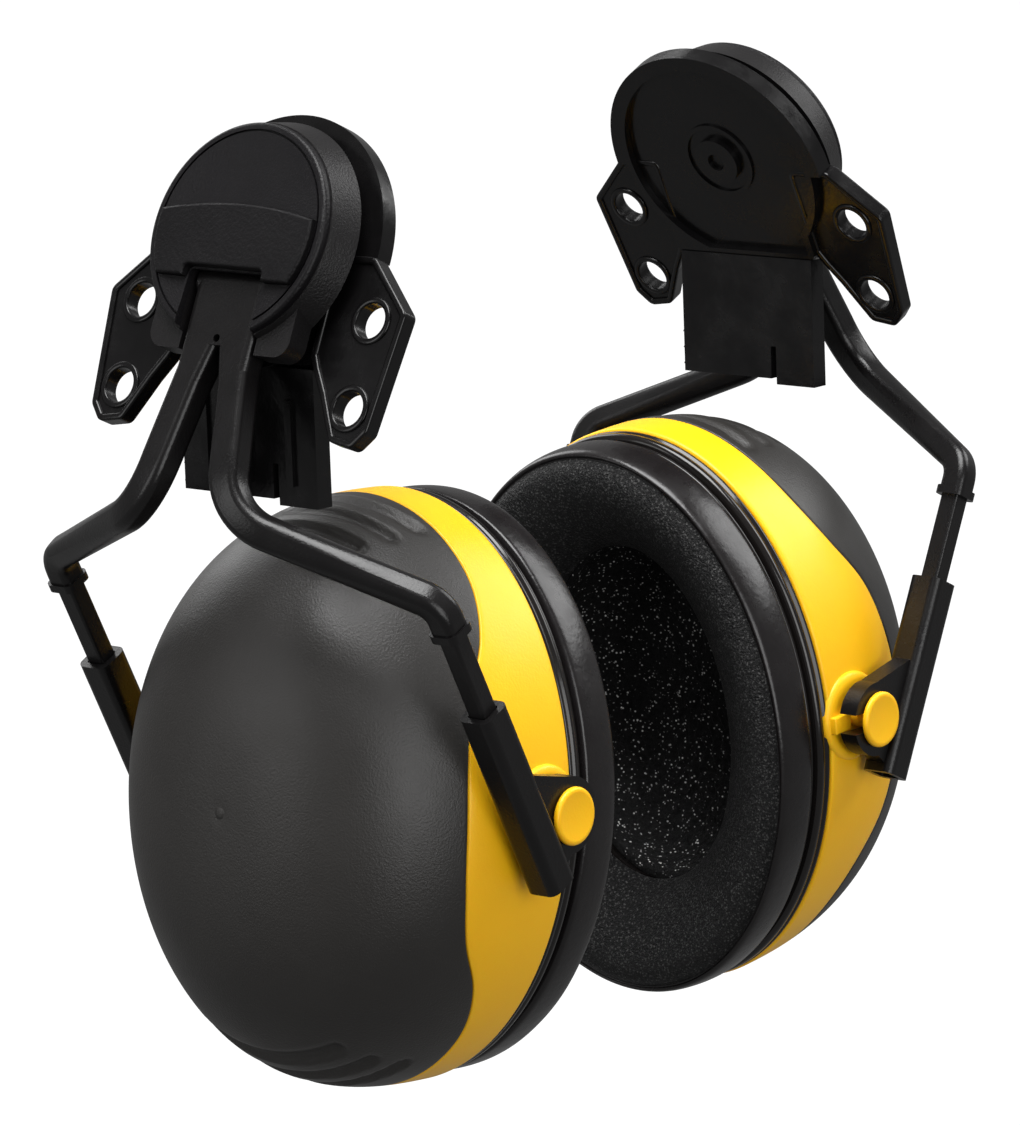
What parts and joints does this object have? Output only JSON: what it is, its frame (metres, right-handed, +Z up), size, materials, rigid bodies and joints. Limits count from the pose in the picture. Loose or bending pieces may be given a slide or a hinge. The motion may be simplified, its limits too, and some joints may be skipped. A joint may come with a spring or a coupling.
{
  "type": "helmet-mounted hearing protection earmuffs",
  "caption": "Pair of helmet-mounted earmuffs: slot adapters with winged plates, swivelling heads, forked arms, sliding clips and cushioned cups with a coloured band.",
  "frame": {"origin": "midway between the two swivel hub centres, on the middle plane of the head", "axes": "+X to the unit whose cup lies on the +X side, across the head; +Y towards the face; +Z up"},
  "size_m": [0.1762, 0.0932, 0.1709],
  "materials": {
    "adapter": "satin",
    "washer": "matte",
    "housing": "satin",
    "cap": "matte",
    "steel": "satin",
    "arm": "satin",
    "shell": "matte",
    "band": "satin",
    "ear_plate": "gloss",
    "cushion": "satin",
    "foam": "matte"
  },
  "bodies": {
    "adapters": {"left_adapter_plate": "adapter", "left_hub_pin": "adapter", "left_friction_washer": "washer", "right_adapter_plate": "adapter", "right_hub_pin": "adapter", "right_friction_washer": "washer"},
    "left_head": {"left_housing": "housing", "left_cap": "cap", "left_cap_panel": "cap", "left_tilt_pin": "steel", "left_press_spring": "steel"},
    "left_yoke": {"left_arm": "arm", "left_front_stem": "arm", "left_rear_stem": "arm"},
    "left_rear_slider": {"left_rear_clip": "arm"},
    "left_front_slider": {"left_front_clip": "arm"},
    "left_cup": {"left_cup_shell": "shell", "left_cup_band": "band", "left_front_stud": "band", "left_rear_stud": "band", "left_ear_plate": "ear_plate", "left_cushion_carrier": "ear_plate", "left_ear_cushion": "cushion", "left_foam_liner": "foam"},
    "right_head": {"right_housing": "housing", "right_cap": "cap", "right_cap_panel": "cap", "right_tilt_pin": "steel", "right_press_spring": "steel"},
    "right_yoke": {"right_arm": "arm", "right_front_stem": "arm", "right_rear_stem": "arm"},
    "right_rear_slider": {"right_rear_clip": "arm"},
    "right_front_slider": {"right_front_clip": "arm"},
    "right_cup": {"right_cup_shell": "shell", "right_cup_band": "band", "right_front_stud": "band", "right_rear_stud": "band", "right_ear_plate": "ear_plate", "right_cushion_carrier": "ear_plate", "right_ear_cushion": "cushion", "right_foam_liner": "foam"}
  },
  "joints": [
    {"name": "left_swivel", "type": "hinge", "parent": "adapters", "child": "left_head", "pos_m": [-0.0596, 0, 0], "axis": [-0.9063, 0, 0.4226], "range_deg": [-90, 90]},
    {"name": "left_swing", "type": "hinge", "parent": "left_head", "child": "left_yoke", "pos_m": [-0.07032, 0, -0.00548], "axis": [0, 1, 0], "range_deg": [0, 45]},
    {"name": "left_rear_slide", "type": "slide", "parent": "left_yoke", "child": "left_rear_slider", "axis": [-0.4415, 0, 0.8973], "range_m": [-0.014, 0.008]},
    {"name": "left_front_slide", "type": "slide", "parent": "left_yoke", "child": "left_front_slider", "axis": [-0.4415, 0, 0.8973], "range_m": [-0.014, 0.008]},
    {"name": "left_cup_tilt", "type": "hinge", "parent": "left_rear_slider", "child": "left_cup", "pos_m": [-0.04321, -0.0434, -0.09612], "axis": [0, 1, 0], "range_deg": [-15, 15]},
    {"name": "right_swivel", "type": "hinge", "parent": "adapters", "child": "right_head", "pos_m": [0.0596, 0, 0], "axis": [0.9063, 0, 0.4226], "range_deg": [-90, 90]},
    {"name": "right_swing", "type": "hinge", "parent": "right_head", "child": "right_yoke", "pos_m": [0.07032, 0, -0.00548], "axis": [0, -1, 0], "range_deg": [0, 45]},
    {"name": "right_rear_slide", "type": "slide", "parent": "right_yoke", "child": "right_rear_slider", "axis": [0.4415, 0, 0.8973], "range_m": [-0.014, 0.008]},
    {"name": "right_front_slide", "type": "slide", "parent": "right_yoke", "child": "right_front_slider", "axis": [0.4415, 0, 0.8973], "range_m": [-0.014, 0.008]},
    {"name": "right_cup_tilt", "type": "hinge", "parent": "right_rear_slider", "child": "right_cup", "pos_m": [0.04321, -0.0434, -0.09612], "axis": [0, -1, 0], "range_deg": [-15, 15]}
  ],
  "couplings": [
    {"joint": "left_front_slide", "follows": "left_rear_slide", "ratio": 1},
    {"joint": "right_front_slide", "follows": "right_rear_slide", "ratio": 1}
  ]
}
